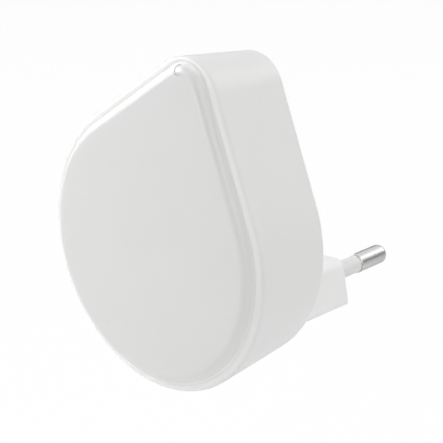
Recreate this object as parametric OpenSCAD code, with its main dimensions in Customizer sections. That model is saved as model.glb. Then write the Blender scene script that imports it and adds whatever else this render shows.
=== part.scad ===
// Plug-in night light: drop-shaped housing with a flat light panel, carried by a two-pin plug block.
// Millimetres, +Z up, X to the right seen from the front, +Y into the wall.
// Origin: middle between the two pins on the rear face of the plug block.

/* [Housing] */
// Radius of the round part of the drop at its widest, near the front
body_radius = 27.8; // [27:0.1:30]
// Radius of the rounded tip of the drop
tip_radius = 8.9; // [8:0.1:9.6]
// Angle of the straight sides: how far the tangent points sit above the widest line
side_angle = 39; // [36:0.5:42]
// Depth of the housing, front rim to rear face
body_depth = 18.8; // [18:0.1:21]
// Draft of the side wall, smaller towards the wall socket
draft_angle = 5.6; // [3:0.1:6]
// Rounding of the front rim, outside
rim_round = 1.4; // [1:0.1:1.4]
// Rounding of the rear edge
rear_round = 1; // [0.5:0.1:1.4]
// Thickness of the side wall at the rear
wall = 2; // [1.6:0.1:2.2]
// Thickness of the rear wall
back_wall = 2; // [1.6:0.1:2.2]
// Lean of the drop to the right, seen from the front, with the plug level
drop_tilt = 20.5; // [0:0.5:24]
// Height of the centre of the round part above the pins
drop_lift = 14.1; // [13.4:0.1:14.6]

/* [Light panel] */
// Width of the housing rim around the panel
rim_width = 1.5; // [1.4:0.1:2]
// Tip radius of the panel opening
opening_tip_radius = 5.3; // [4.8:0.1:5.6]
// Width of the ledge behind the rim that the panel rests on
seat_width = 0.5; // [0.45:0.05:0.7]
// Gap between panel and rim all round
panel_gap = 0.3; // [0.2:0.05:0.4]
// Thickness of the panel
panel_thickness = 2; // [1.6:0.1:2.2]
// How far the front of the panel stands out in front of the rim
panel_rise = 1.6; // [1.2:0.1:1.8]
// Rounding of the front edge of the panel
border_round = 2.1; // [1.8:0.1:2.4]
// Width of the thicker border of the panel around the recess behind it
border_width = 2.6; // [2.4:0.1:2.9]
// Length of the snap tabs behind the panel
tab_length = 4.2; // [3:0.1:4.5]
// Width of the snap tabs
tab_width = 5; // [3:0.5:6]
// Thickness of the snap tabs
tab_thickness = 1; // [0.8:0.1:1.2]
// Number of snap tabs on the round part
tab_count = 5; // [3:1:5]

/* [Light sensor] */
// Radius of the light guide where it shows in the panel
guide_radius = 0.75; // [0.6:0.05:0.85]
// Distance of the light guide from the seam at the tip of the panel
guide_edge = 0.3; // [0.2:0.05:0.5]
// Turn of the light guide about the centre of the panel tip, towards the top
guide_turn = 28; // [0:1:40]

/* [Plug block] */
// Length of the plug block behind the housing
plug_length = 19.1; // [16:0.1:22]
// Width of the plug block at mid height
plug_width = 29.8; // [27:0.1:30]
// Height of the plug block
plug_height = 9.5; // [9:0.1:10]
// Lean of the block ends, wider below
end_lean = 8; // [0:0.5:10]
// Corner rounding of the block, upper edges
top_corner = 1.8; // [1:0.1:2.5]
// Corner rounding of the block, lower edges
bottom_corner = 1; // [0.5:0.1:1.5]
// Wall of the hollow plug block
plug_wall = 1.7; // [1.4:0.1:1.9]
// Thickness of the end wall that holds the pins
plug_end_wall = 3.4; // [3:0.1:4]
// Clearance of the block in the rear wall
plug_clearance = 0.25; // [0.15:0.05:0.3]
// Thickness of the flange inside the housing
flange_thickness = 1.6; // [1.4:0.1:2]

/* [Pins] */
// Distance of the pin axes at the rear face of the block
pin_spacing = 18.6; // [18:0.1:19.2]
// Diameter of the bare pin ends
pin_diameter = 4; // [3.9:0.02:4.06]
// Length of a pin from the block face to its tip
pin_length = 19; // [18.5:0.1:19.5]
// Length of the insulating sleeve outside the block
sleeve_length = 10; // [9:0.1:11]
// Outer diameter of the insulating sleeve
sleeve_diameter = 3.6; // [3.4:0.05:3.8]
// Diameter of the pin inside the sleeve
shank_diameter = 2.4; // [2:0.1:2.5]
// Lean of each pin towards the other
pin_toe = 1.6; // [0:0.1:2]
// Rounding of the pin ends
pin_nose = 1.5; // [0.8:0.1:1.8]
// Clearance around the pin shank
shank_clearance = 0.25; // [0.15:0.05:0.3]

/* [Inside] */
// Height of the circuit board above the rear face, rear side
board_level = 9.5; // [9.2:0.1:10]
// Thickness of the circuit board
board_thickness = 1.2; // [1:0.1:1.6]
// Gap between the circuit board and the supporting ribs
board_gap = 0.5; // [0.3:0.1:0.8]
// Thickness of the reflector plate
reflector_thickness = 1; // [0.8:0.1:1.2]
// Number of lamps on the board
led_count = 6; // [4:1:8]
// Radius of the ring of lamps
led_ring = 12.5; // [11.5:0.1:13]
// Length, width and height of one lamp
led_size = [3.5, 2.8, 0.8]; // [0.5:0.1:4]
// Shank radius of the small screws
screw_radius = 1; // [0.8:0.05:1.1]
// Head radius of the small screws
screw_head_radius = 1.9; // [1.6:0.05:2]
// Head height of the small screws
screw_head_height = 1.2; // [1:0.05:1.3]
// Clearance around the small screws
screw_clearance = 0.2; // [0.1:0.05:0.3]
// Radius of the screw bosses
boss_radius = 2.4; // [2.1:0.1:2.6]
// Length, width and height of the film capacitor
film_size = [13, 6.5, 6.6]; // [2:0.1:14]
// Radius of the round capacitor
can_radius = 3.15; // [2.5:0.05:3.5]
// Length of the round capacitor
can_length = 6.4; // [5:0.1:6.6]
// Radius of the insulation of the leads
lead_radius = 0.8; // [0.6:0.05:0.9]
// Radius of the bare conductor of the leads
conductor_radius = 0.4; // [0.3:0.05:0.5]

/* [Hidden] */
$fn = 96;
join = 0.4; // overlap of merged solids
least_corner = 0.4; // smallest corner rounding inside the hollow block
slip = 0.0005; // keeps straight sides just inside the arcs that they run into, and sections off their axis
past_axis = 95; // angle at which the arcs of a half drop end, just past its axis
cavity_top = body_depth - panel_thickness; // where the panel rests
front_centre = [-rim_round, body_depth - rim_round];
front_tangent = front_centre + (rim_round - slip) * [cos(draft_angle), -sin(draft_angle)];
function wall_line(z) = front_tangent[0] + (z - front_tangent[1]) * tan(draft_angle);
function inner_line(z) = lerp(wall_line(back_wall) - wall, -rim_width - seat_width,
    (z - back_wall) / (cavity_top - back_wall));
function lerp(a, b, t) = a + (b - a) * t;
rear_centre = [wall_line(rear_round) - rear_round / cos(draft_angle), rear_round];
rear_tangent = rear_centre + (rear_round - slip) * [cos(draft_angle), -sin(draft_angle)];
function tip_height(big, tip) = (big - tip) / sin(side_angle);

opening_radius = body_radius - rim_width;
panel_radius = opening_radius - panel_gap;
panel_tip_radius = opening_tip_radius - panel_gap;
panel_tip_height = tip_height(panel_radius, panel_tip_radius);
panel_front = body_depth + panel_rise;
border_centre = [-border_round, panel_front - border_round];
tab_outer = body_radius + inner_line(cavity_top - tab_length) - 0.5;
barb = 0.7; // reach of a snap barb
rib_reach = 1.5; // reach of a rib from the inner wall
rib_width = 1.2;
rib_foot = board_level - 2;
tab_step = 44; // angle between snap tabs

board_inset = -inner_line(board_level) + rib_reach + board_gap;
board_radius = body_radius - board_inset;
board_tip = tip_radius - board_inset;
board_top = board_level + board_thickness;
reflector_top = board_top + reflector_thickness;
reflector_inset = board_inset + 0.2;

guide_hole = guide_radius + 0.15;
guide_reach = panel_tip_radius - guide_edge - guide_hole;
guide_place = [-guide_reach * sin(guide_turn), panel_tip_height + guide_reach * cos(guide_turn)];
sensor_size = [3, 2.6, 1];
sensor_place = [guide_place[0] + 0.5, tip_height(board_radius, board_tip) + board_tip - 2.2];
dome_radius = 0.8;
guide_clearance = 0.15;
guide_arm = 1; // thickness of the arm between the two rods of the light guide
guide_sink = 0.1; // of the light guide's end below the face of the panel
guide_foot = board_top + sensor_size[2] + dome_radius + guide_clearance;

half_height = plug_height / 2;
half_width = plug_width / 2;
flange_level = back_wall + 3; // underside of the flange, on top of its bosses
flange_top = flange_level + flange_thickness;
flange_half = 17;
flange_radius = body_radius + inner_line(back_wall) - 0.8;
flange_screws = [12.6, half_height + 3.7 - drop_lift];
boss_hole_depth = 4;
board_screw_places = board_radius * [[-0.8, 0.13], [0.8, 0.13], [0.287, 0.925]];
board_screw_length = 5;
flange_screw_length = 5;
collar_radius = 1.9;
collar_thickness = 1;
tail_radius = 0.75;
tail_length = 3.5;
seat_depth = 0.8; // depth of the sleeve seats in the block
film_place = board_radius * [-0.28, 0.16];
can_place = board_radius * [0.335, 0.17];
can_groove = [1.2, 0.5]; // level and radius of the groove above the seal
can_vent = 0.3; // depth of the sunk top
bridge_place = board_radius * [-0.31, 0.575];
bridge_size = [4.8, 3.8, 2.1];
bridge_lead = [0.7, 1.4, 0.4];
bridge_pitch = 2.6;
resistor_place = board_radius * [-0.09, 0.795];
resistor_radius = 1.2;
resistor_length = 6.2;
wire_radius = 0.3;
wire_reach = 0.8; // from the end of the resistor to the bend of its wire
chip_places = board_radius * [[0.6, -0.06], [0.61, 0.425], [-0.61, 0.475], [0.115, 0.46]];
chip_size = [3.2, 1.6, 0.6];
zener_place = board_radius * [0.185, 0.618];
zener_radius = 0.75;
zener_length = 3.4;
zener_cap = [0.5, 1];
transistor_place = board_radius * [0.468, 0.618];
transistor_size = [2.9, 1.3, 1];
transistor_lead = [0.4, 0.8, 0.3];
transistor_pitch = 1.9;
lead_place = [pin_spacing / 2 + (plug_end_wall + collar_thickness + tail_length) * sin(pin_toe), -drop_lift];
lead_start = plug_end_wall + collar_thickness + tail_length + 0.2;
crimp_radius = 1.25;

// plane of the housing's rear face: x right, y up from the centre of the round part, z to the front
module level_frame() {
    translate([0, -plug_length, drop_lift]) rotate([90, 0, 0]) children();
}

// the same plane turned with the drop, y towards its tip
module drop_frame() {
    level_frame() rotate([0, 0, -drop_tilt]) children();
}

// right half of a flat drop, turned so that its straight side runs along y: arc, side and tip arc
module half_outline(big, tip) {
    run = tip_height(big, tip) * cos(side_angle);
    circle(r = big);
    square([big - slip, run]);
    translate([big - tip, run]) circle(r = tip);
}

// flat drop, mirrored about its axis
module drop_outline(big, tip) {
    for (side = [0, 1]) mirror([side, 0]) intersection() {
        rotate(side_angle) half_outline(big, tip);
        translate([0, -2 * big]) square([2 * big, 5 * big]);
    }
}

module drop_plate(big, tip, low, high) {
    translate([0, 0, low]) linear_extrude(high - low) drop_outline(big, tip);
}

// an edge section carried around half of the drop, filled in the middle and cut off at the axis;
// the section's outer side is x = 0, its inner side x = -tip
module half_sweep(big, tip, low, high) {
    run = tip_height(big, tip) * cos(side_angle);
    intersection() {
        rotate([0, 0, side_angle]) {
            rotate_extrude(start = -past_axis - side_angle, angle = past_axis + side_angle)
                translate([big, 0]) children();
            translate([0, run, 0]) rotate([90, 0, 0]) linear_extrude(run) translate([big, 0]) children();
            translate([big - tip, run, 0]) rotate_extrude(angle = past_axis - side_angle)
                translate([tip, 0]) children();
            translate([0, 0, low]) linear_extrude(high - low) {
                circle(r = big - tip + join / 2);
                square([big - tip + join / 4, run]);
                translate([big - tip, run]) circle(r = join / 2);
            }
        }
        translate([0, -2 * big, low - 1]) cube([2 * big, 5 * big, high - low + 2]);
    }
}

// the section carried all the way around
module drop_sweep(big, tip, low, high) {
    for (side = [0, 1]) mirror([side, 0, 0]) half_sweep(big, tip, low, high) children();
}

// side wall with draft, rounded rim and rounded rear edge
module body_section() {
    polygon([[slip - tip_radius, 0], [rear_centre[0], 0], rear_tangent, front_tangent,
        [front_centre[0], body_depth], [slip - tip_radius, body_depth]]);
    translate(front_centre) circle(r = rim_round);
    translate(rear_centre) circle(r = rear_round);
}

module cavity_section() {
    polygon([[slip - tip_radius, back_wall], [inner_line(back_wall), back_wall],
        [inner_line(body_depth + 1), body_depth + 1], [slip - tip_radius, body_depth + 1]]);
}

// section of the plug block: flat top and bottom, leaning ends, four rounded corners
module plug_section(grow = 0) {
    t = tan(end_lean);
    c = cos(end_lean);
    s = sin(end_lean);
    w = half_width + grow / c;
    h = half_height + grow;
    rt = max(top_corner + grow, least_corner);
    rb = max(bottom_corner + grow, least_corner);
    xt = w - (h - rt) * t - rt / c;
    xb = w + (h - rb) * t - rb / c;
    for (side = [0, 1]) mirror([side, 0]) {
        polygon([[0, -h], [xb, -h], [xb + (rb - slip) * c, -h + rb + (rb - slip) * s],
            [xt + (rt - slip) * c, h - rt + (rt - slip) * s], [xt, h], [0, h]]);
        translate([xt, h - rt]) circle(r = rt);
        translate([xb, -h + rb]) circle(r = rb);
    }
}

module plug_place() {
    translate([0, -drop_lift, 0]) children();
}

// one place per snap tab on the round part
module tab_places(shift = 0) {
    for (k = [0:tab_count - 1]) rotate([0, 0, -90 + (k - (tab_count - 1) / 2) * tab_step + shift]) children();
}

// frame of one pin: its axis along y, leaning towards the other pin
module pin_frame(side) {
    translate([side * pin_spacing / 2, 0, 0]) rotate([0, 0, side * pin_toe]) children();
}

// round bar along y between two places
module bar(r, from, to) {
    translate([0, from, 0]) rotate([-90, 0, 0]) cylinder(r = r, h = to - from);
}

// drop-shaped cup: side wall, rear wall, screw bosses and supporting ribs
module housing() {
    color([0.95, 0.95, 0.94]) {
        difference() {
            union() {
                difference() {
                    drop_frame() drop_sweep(body_radius, tip_radius, 0, body_depth) body_section();
                    drop_frame() drop_sweep(body_radius, tip_radius, back_wall, body_depth + 1) cavity_section();
                }
                drop_frame() tab_places(tab_step / 2)
                    translate([board_radius + board_gap, -rib_width / 2, rib_foot])
                        cube([body_radius - wall + join - board_radius - board_gap, rib_width,
                            cavity_top - rib_foot + join]);
                level_frame() for (p = board_screw_places)
                    translate([p[0], p[1], back_wall - join]) cylinder(r = boss_radius, h = board_level - back_wall + join);
                level_frame() for (side = [-1, 1])
                    translate([side * flange_screws[0], flange_screws[1], back_wall - join])
                        cylinder(r = boss_radius, h = flange_level - back_wall + join);
            }
            drop_frame() drop_plate(opening_radius, opening_tip_radius, cavity_top, body_depth + 1);
            drop_frame() translate([guide_place[0], guide_place[1], cavity_top - guide_arm - guide_clearance])
                cylinder(r = guide_hole, h = guide_arm + 1);
            drop_frame() tab_places() translate([tab_outer - join, -tab_width / 2 - panel_gap,
                cavity_top - tab_length - 0.4]) cube([barb + 2 * join, tab_width + 2 * panel_gap, 2.2]);
            level_frame() plug_place() translate([0, 0, -1]) linear_extrude(back_wall + 2)
                plug_section(plug_clearance);
            level_frame() for (p = board_screw_places)
                translate([p[0], p[1], reflector_top - board_screw_length - 0.6])
                    cylinder(r = screw_radius + screw_clearance, h = board_screw_length + 1);
            level_frame() for (side = [-1, 1])
                translate([side * flange_screws[0], flange_screws[1], flange_level - boss_hole_depth])
                    cylinder(r = screw_radius + screw_clearance, h = boss_hole_depth + 1);
        }
    }
}

// section of the panel's edge: a straight side and a rounded front edge
module panel_section() {
    polygon([[slip - panel_tip_radius, cavity_top], [0, cavity_top], [0, border_centre[1]],
        [border_centre[0], panel_front], [slip - panel_tip_radius, panel_front]]);
    translate(border_centre) intersection() {
        circle(r = border_round);
        square(border_round);
    }
}

// flat translucent panel with a rounded front edge, a recess behind it and snap tabs
module diffuser() {
    low = cavity_top;
    color([0.97, 0.97, 0.96])
    drop_frame() difference() {
        union() {
            drop_sweep(panel_radius, panel_tip_radius, low, panel_front) panel_section();
            tab_places() {
                translate([tab_outer - tab_thickness, -tab_width / 2, low - tab_length])
                    cube([tab_thickness, tab_width, tab_length + join]);
                translate([tab_outer, tab_width / 2, low - tab_length]) rotate([90, 0, 0])
                    linear_extrude(tab_width) polygon([[-join, 0], [0, 0], [barb, 1], [0, 1.4], [-join, 1.4]]);
            }
        }
        drop_plate(panel_radius - border_width, panel_tip_radius - border_width, low - 1, low + panel_rise);
        translate([guide_place[0], guide_place[1], low - 1]) cylinder(r = guide_hole, h = panel_front - low + 2);
    }
}

// clear light guide from the panel tip down to the light sensor
module light_guide() {
    reach = guide_place[1] - sensor_place[1];
    arm_low = cavity_top - guide_arm;
    color([0.85, 0.88, 0.88])
    drop_frame() {
        intersection() {
            translate([guide_place[0], guide_place[1], cavity_top - join])
                cylinder(r = guide_radius, h = panel_front - cavity_top + join);
            translate([0, panel_tip_height, -guide_sink]) rotate_extrude() translate([panel_tip_radius, 0])
                panel_section();
        }
        translate([guide_place[0], guide_place[1], arm_low]) cylinder(r = guide_radius, h = guide_arm);
        translate([sensor_place[0], sensor_place[1], guide_foot])
            cylinder(r = guide_radius, h = cavity_top - guide_foot);
        translate([guide_place[0], sensor_place[1], arm_low]) cube([guide_radius, reach, cavity_top - arm_low]);
        translate([guide_place[0], sensor_place[1] - guide_radius, arm_low])
            cube([guide_radius, guide_radius, cavity_top - arm_low]);
    }
}

// hollow plug block with the flange that is screwed down inside the housing
module plug_block() {
    color([0.95, 0.95, 0.94])
    difference() {
        union() {
            level_frame() plug_place() translate([0, 0, -plug_length])
                linear_extrude(plug_length + flange_top) plug_section();
            level_frame() translate([0, 0, flange_level]) linear_extrude(flange_thickness) intersection() {
                translate([-flange_half, -flange_radius])
                    square([2 * flange_half, flange_radius + flange_screws[1] + boss_radius]);
                circle(r = flange_radius);
            }
        }
        level_frame() plug_place() translate([0, 0, plug_end_wall - plug_length])
            linear_extrude(plug_length + flange_top) plug_section(-plug_wall);
        for (side = [-1, 1]) {
            pin_frame(side) bar(shank_diameter / 2 + shank_clearance, -plug_end_wall - 2, 1);
            pin_frame(side) bar(sleeve_diameter / 2 + shank_clearance, -seat_depth, 1);
            pin_frame(side) bar(collar_radius + shank_clearance, -plug_end_wall - 2, -plug_end_wall + 0.15);
            level_frame() translate([side * flange_screws[0], flange_screws[1], 0])
                cylinder(r = screw_radius + screw_clearance, h = flange_top + 1);
        }
    }
}

// contact pin: bare rounded end, thinner shank in the sleeve, collar and soldering tail inside
module pin(side) {
    color([0.78, 0.78, 0.79])
    pin_frame(side) {
        bar(shank_diameter / 2, -plug_end_wall, sleeve_length + join);
        bar(pin_diameter / 2, sleeve_length, pin_length - pin_nose);
        bar(collar_radius, -plug_end_wall + 0.15 - collar_thickness, -plug_end_wall + 0.15);
        bar(tail_radius, -plug_end_wall - collar_thickness - tail_length, -plug_end_wall);
        translate([0, pin_length - pin_nose, 0]) rotate([-90, 0, 0]) rotate_extrude() {
            square([pin_diameter / 2 - pin_nose, pin_nose]);
            intersection() {
                translate([pin_diameter / 2 - pin_nose, 0]) circle(r = pin_nose);
                square([pin_diameter / 2, pin_nose]);
            }
        }
    }
}

module pin_left() { pin(-1); }

module pin_right() { pin(1); }

// insulating sleeve, seated in the block and butted against the bare pin end
module sleeve(side) {
    color([0.96, 0.96, 0.95])
    pin_frame(side) difference() {
        bar(sleeve_diameter / 2, -seat_depth, sleeve_length);
        bar(shank_diameter / 2 + shank_clearance, -seat_depth - 1, sleeve_length + 1);
    }
}

module sleeve_left() { sleeve(-1); }

module sleeve_right() { sleeve(1); }

// insulated lead: crimped on the pin tail, soldered through the circuit board
module lead(side) {
    top = -plug_length - board_top;
    color(side < 0 ? [0.35, 0.22, 0.14] : [0.2, 0.35, 0.65]) {
        pin_frame(side) difference() {
            bar(crimp_radius, -lead_start - 1.5, -plug_end_wall - collar_thickness - 0.6);
            bar(tail_radius + 0.2, -lead_start, 0);
        }
        translate([side * lead_place[0], 0, 0]) {
            bar(lead_radius, -plug_length - board_level + 0.3, -lead_start - 1);
            bar(conductor_radius, top - 0.6, -plug_length - board_level + 1);
        }
    }
}

module lead_left() { lead(-1); }

module lead_right() { lead(1); }

// small pan-head screw pointing down from the underside of its head
module screw(length) {
    translate([0, 0, -length]) cylinder(r = screw_radius, h = length + join);
    rotate_extrude() difference() {
        union() {
            square([screw_head_radius, screw_head_height / 2]);
            square([screw_head_radius - 0.4, screw_head_height]);
        }
        translate([0, screw_head_height - 0.5]) square([0.6, 1]);
    }
}

module flange_screws() {
    color([0.7, 0.7, 0.72]) level_frame() for (side = [-1, 1])
        translate([side * flange_screws[0], flange_screws[1], flange_top]) screw(flange_screw_length);
}

module board_screws() {
    color([0.7, 0.7, 0.72]) level_frame() for (p = board_screw_places)
        translate([p[0], p[1], reflector_top]) screw(board_screw_length);
}

// drop-shaped circuit board with screw holes and lead holes
module circuit_board() {
    color([0.16, 0.4, 0.24])
    difference() {
        drop_frame() drop_plate(board_radius, board_tip, board_level, board_top);
        level_frame() for (p = board_screw_places) translate([p[0], p[1], board_level - 1])
            cylinder(r = screw_radius + screw_clearance, h = board_thickness + 2);
        level_frame() for (side = [-1, 1]) translate([side * lead_place[0], lead_place[1], board_level - 1])
            cylinder(r = conductor_radius + 0.2, h = board_thickness + 2);
    }
}

module led_places() {
    for (k = [0:led_count - 1]) rotate([0, 0, 30 + k * 360 / led_count]) translate([led_ring, 0]) children();
}

// white plate in front of the board with a round window at every lamp
module reflector() {
    color([0.98, 0.98, 0.98])
    difference() {
        drop_frame() drop_plate(body_radius - reflector_inset, tip_radius - reflector_inset, board_top, reflector_top);
        level_frame() translate([0, 0, board_top - 1]) {
            led_places() cylinder(r = led_size[0] / 2 + 0.9, h = reflector_thickness + 2);
            for (p = board_screw_places) translate(p)
                cylinder(r = screw_radius + screw_clearance, h = reflector_thickness + 2);
            for (side = [-1, 1]) translate([side * lead_place[0], lead_place[1]])
                cylinder(r = conductor_radius + 0.6, h = reflector_thickness + 2);
        }
        drop_frame() translate([sensor_place[0], sensor_place[1], board_top - 1])
            translate([-sensor_size[0] / 2 - 0.5, -sensor_size[1] / 2 - 0.5, 0])
                cube([sensor_size[0] + 1, board_radius, reflector_thickness + 2]);
    }
}

// small lamps: a square body with a round lit face
module leds() {
    color([0.98, 0.93, 0.7])
    level_frame() translate([0, 0, board_top]) led_places() difference() {
        translate([-led_size[0] / 2, -led_size[1] / 2, 0]) cube(led_size);
        translate([0, 0, led_size[2] - 0.2]) cylinder(r = led_size[1] / 2 - 0.3, h = 1);
    }
}

// light sensor with a small dome under the light guide
module light_sensor() {
    color([0.2, 0.2, 0.22])
    drop_frame() translate([sensor_place[0], sensor_place[1], board_top]) {
        translate([-sensor_size[0] / 2, -sensor_size[1] / 2, 0]) cube(sensor_size);
        translate([0, 0, sensor_size[2] - join]) intersection() {
            translate([0, 0, join]) sphere(r = dome_radius);
            cylinder(r = dome_radius, h = join + dome_radius);
        }
    }
}

// parts on the rear side of the board hang down from this frame, z away from the board
module under_board(place) {
    level_frame() translate([place[0], place[1], board_level]) mirror([0, 0, 1]) children();
}

// block standing on z = 0 around the z axis
module block(size) {
    translate([-size[0] / 2, -size[1] / 2, 0]) cube(size);
}

module film_capacitor() {
    color([0.75, 0.25, 0.15]) under_board(film_place) block(film_size);
}

module smoothing_capacitor() {
    color([0.12, 0.14, 0.2])
    under_board(can_place) rotate_extrude() difference() {
        square([can_radius, can_length]);
        translate([can_radius + 0.1, can_groove[0]]) circle(r = can_groove[1]);
        translate([0, can_length - can_vent]) square([can_radius - 0.7, 1]);
    }
}

module bridge_rectifier() {
    color([0.1, 0.1, 0.11])
    under_board(bridge_place) {
        translate([0, 0, bridge_lead[2] - 0.1]) block(bridge_size);
        for (side = [-1, 1]) for (end = [-1, 1])
            translate([side * bridge_pitch / 2, end * (bridge_size[1] + bridge_lead[1] / 2) / 2, 0])
                block(bridge_lead);
    }
}

module fusible_resistor() {
    reach = resistor_length / 2 + wire_reach;
    color([0.35, 0.55, 0.6])
    under_board(resistor_place) translate([0, 0, resistor_radius + wire_radius]) {
        rotate([0, 90, 0]) cylinder(r = resistor_radius, h = resistor_length, center = true);
        rotate([0, 90, 0]) cylinder(r = wire_radius, h = 2 * reach + 2 * wire_radius, center = true);
        for (side = [-1, 1]) translate([side * reach, 0, -resistor_radius - wire_radius])
            cylinder(r = wire_radius, h = resistor_radius + wire_radius);
    }
}

module chip_resistors() {
    color([0.12, 0.12, 0.13]) for (place = chip_places) under_board(place) block(chip_size);
}

module zener_diode() {
    color([0.8, 0.35, 0.2])
    under_board(zener_place) {
        translate([0, 0, zener_radius + 0.05]) rotate([0, 90, 0])
            cylinder(r = zener_radius, h = zener_length, center = true);
        for (side = [-1, 1]) translate([side * (zener_length / 2 - 0.2), 0, 0])
            block([zener_cap[0], zener_cap[1], zener_radius + 0.05]);
    }
}

module control_transistor() {
    color([0.1, 0.1, 0.11])
    under_board(transistor_place) {
        translate([0, 0, transistor_lead[2] / 3]) block(transistor_size);
        for (x = [-1, 0, 1]) translate([x * transistor_pitch / 2, (x == 0 ? 1 : -1) * transistor_lead[1], 0])
            block(transistor_lead);
    }
}

housing();
diffuser();
light_guide();
plug_block();
pin_left();
pin_right();
sleeve_left();
sleeve_right();
lead_left();
lead_right();
flange_screws();
circuit_board();
board_screws();
reflector();
leds();
light_sensor();
film_capacitor();
smoothing_capacitor();
bridge_rectifier();
fusible_resistor();
chip_resistors();
zener_diode();
control_transistor();
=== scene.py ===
# %% [markdown]
# # A plug-in night light
# This lesson dresses a small mains night light: a drop-shaped white housing with a flat light panel in front,
# carried by a plug block with two round pins. The solid model that was made for construction is loaded first.
# It fixes every size, so nothing below changes a measure. It only gives the pieces that can be seen softer
# edges, truer surfaces and a real finish, and it sets up the camera and the light.

# %% Load the solid model
import math
from collections import namedtuple

import bmesh
import bpy
from mathutils import Matrix, Vector


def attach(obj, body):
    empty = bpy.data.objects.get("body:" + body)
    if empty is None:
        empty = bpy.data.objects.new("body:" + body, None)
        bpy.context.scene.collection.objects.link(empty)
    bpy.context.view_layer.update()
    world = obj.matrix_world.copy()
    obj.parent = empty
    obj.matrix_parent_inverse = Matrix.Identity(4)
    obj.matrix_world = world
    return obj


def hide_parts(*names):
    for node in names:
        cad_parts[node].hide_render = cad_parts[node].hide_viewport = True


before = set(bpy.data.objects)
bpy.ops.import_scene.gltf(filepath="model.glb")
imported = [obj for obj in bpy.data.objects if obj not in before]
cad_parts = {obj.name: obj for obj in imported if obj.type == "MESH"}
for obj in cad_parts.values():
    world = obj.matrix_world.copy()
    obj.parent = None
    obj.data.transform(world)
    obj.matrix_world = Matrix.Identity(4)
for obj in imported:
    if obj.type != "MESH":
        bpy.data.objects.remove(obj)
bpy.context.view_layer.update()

# %% [markdown]
# ## The measures
# Blender works in metres. The object is 67 mm tall, so every measure is written in millimetres and multiplied
# by MM. The frame is that of the solid model: X to the right seen from the front, Y into the wall, Z up, and the
# origin between the pins on the rear face of the plug block. The drop is modelled upright with the centre of its
# round part at x = 0, z = 0, and leaned and lifted at the end.

# %% Measures of the drop
MM = 0.001
BODY = 27.8 * MM
TIP = 8.9 * MM
SIDE_ANGLE = math.radians(39)
DEPTH = 18.8 * MM
DRAFT = math.radians(5.6)
RIM_ROUND = 1.1 * MM
REAR_ROUND = 1.0 * MM
RIM = 1.5 * MM
OPENING_TIP = 5.3 * MM
SEAT = 0.5 * MM
PANEL_THICKNESS = 2.0 * MM
PANEL_RISE = 1.6 * MM
PANEL_GAP = 0.3 * MM
BACK_WALL = 2.0 * MM
WALL = 2.0 * MM
DROP_LEAN = math.radians(20.5)
DROP_LIFT = 14.1 * MM
PLUG_LENGTH = 19.1 * MM


def level(height):
    """Place along Y of a height above the housing's rear face: the front is towards -Y."""
    return -(PLUG_LENGTH + height)


print("rim at y =", round(level(DEPTH), 4), "front at y =", round(level(DEPTH + PANEL_RISE), 4), "rear face at y =",
      round(level(0), 4))

# %% [markdown]
# ## Helpers for work by hand
# In the window, a modeller clicks a piece, goes into edit mode and picks faces. A script has to say the same
# things: deselect everything first, make one piece active, and choose vertices, edges or faces by their place.

# %% Choosing pieces and parts of pieces
def put_down():
    """Back to object mode with nothing selected."""
    if bpy.context.mode != "OBJECT":
        bpy.ops.object.mode_set(mode="OBJECT")
    bpy.ops.object.select_all(action="DESELECT")


def take(piece):
    """Make this piece the only selected one."""
    put_down()
    piece.select_set(True)
    bpy.context.view_layer.objects.active = piece


def open_up(piece):
    """Edit mode on this piece."""
    take(piece)
    bpy.ops.object.mode_set(mode="EDIT")


def pick(piece, kind, wanted):
    """Select the vertices, edges or faces for which wanted(element, middle) is true, and count them."""
    bpy.ops.mesh.select_mode(type=kind)
    bpy.ops.mesh.select_all(action="DESELECT")
    mesh = bmesh.from_edit_mesh(piece.data)
    count = 0
    for element in {"VERT": mesh.verts, "EDGE": mesh.edges, "FACE": mesh.faces}[kind]:
        corners = [element] if kind == "VERT" else element.verts
        middle = sum((corner.co for corner in corners), Vector()) / len(corners)
        if wanted(element, middle):
            element.select_set(True)
            count += 1
    mesh.select_flush_mode()
    bmesh.update_edit_mesh(piece.data)
    return count


def fix_place(piece):
    """Write the object's place, turn and scale into its mesh."""
    take(piece)
    bpy.ops.object.transform_apply(location=True, rotation=True, scale=True)


print("helpers ready")

# %% [markdown]
# ## Joining and cutting solids
# Holes, screw bosses and tabs are added with the Boolean modifier, as a machinist would drill a hole: a tool
# piece is placed, used once and thrown away. The modifier is applied at once, so the finished mesh is plain.

# %% Boolean work
def work(piece, tool, operation):
    """Cut the piece with the tool, or weld the tool to it, and remove the tool."""
    take(piece)
    step = piece.modifiers.new("work", "BOOLEAN")
    step.operation = operation
    step.solver = "EXACT"
    step.object = tool
    bpy.ops.object.modifier_apply(modifier=step.name)
    bpy.data.objects.remove(tool, do_unlink=True)
    return piece


def rod(name, radius, start, end, sides=48):
    """A round bar between two places, used as a drill, a boss or a stud."""
    put_down()
    along = Vector(end) - Vector(start)
    bpy.ops.mesh.primitive_cylinder_add(
        vertices=sides, radius=radius, depth=along.length, location=(Vector(start) + Vector(end)) / 2,
        rotation=along.to_track_quat("Z", "Y").to_euler())
    piece = bpy.context.object
    piece.name = name
    fix_place(piece)
    return piece


def slab(name, low, high):
    """A plain box between two corners, used as a tool or a tab."""
    put_down()
    low, high = Vector(low), Vector(high)
    bpy.ops.mesh.primitive_cube_add(size=1, location=(low + high) / 2, scale=high - low)
    piece = bpy.context.object
    piece.name = name
    fix_place(piece)
    return piece


print("tools ready")

# %% [markdown]
# ## The drop outline
# The outline is a large circle and a small one joined by two straight sides. It could be drawn as a curve and
# extruded, but then every rounding would need a bevel. Here it is a ring of points: a circle is added, its cap is
# split off, shrunk to the tip's radius and slid up, and two edges close the ring. Each further ring is extruded
# from the last one, and its two arcs are resized about their own centres, which gives exact parallel offsets for
# the draft, the rounded rim and the rounded edge of the panel.

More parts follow.
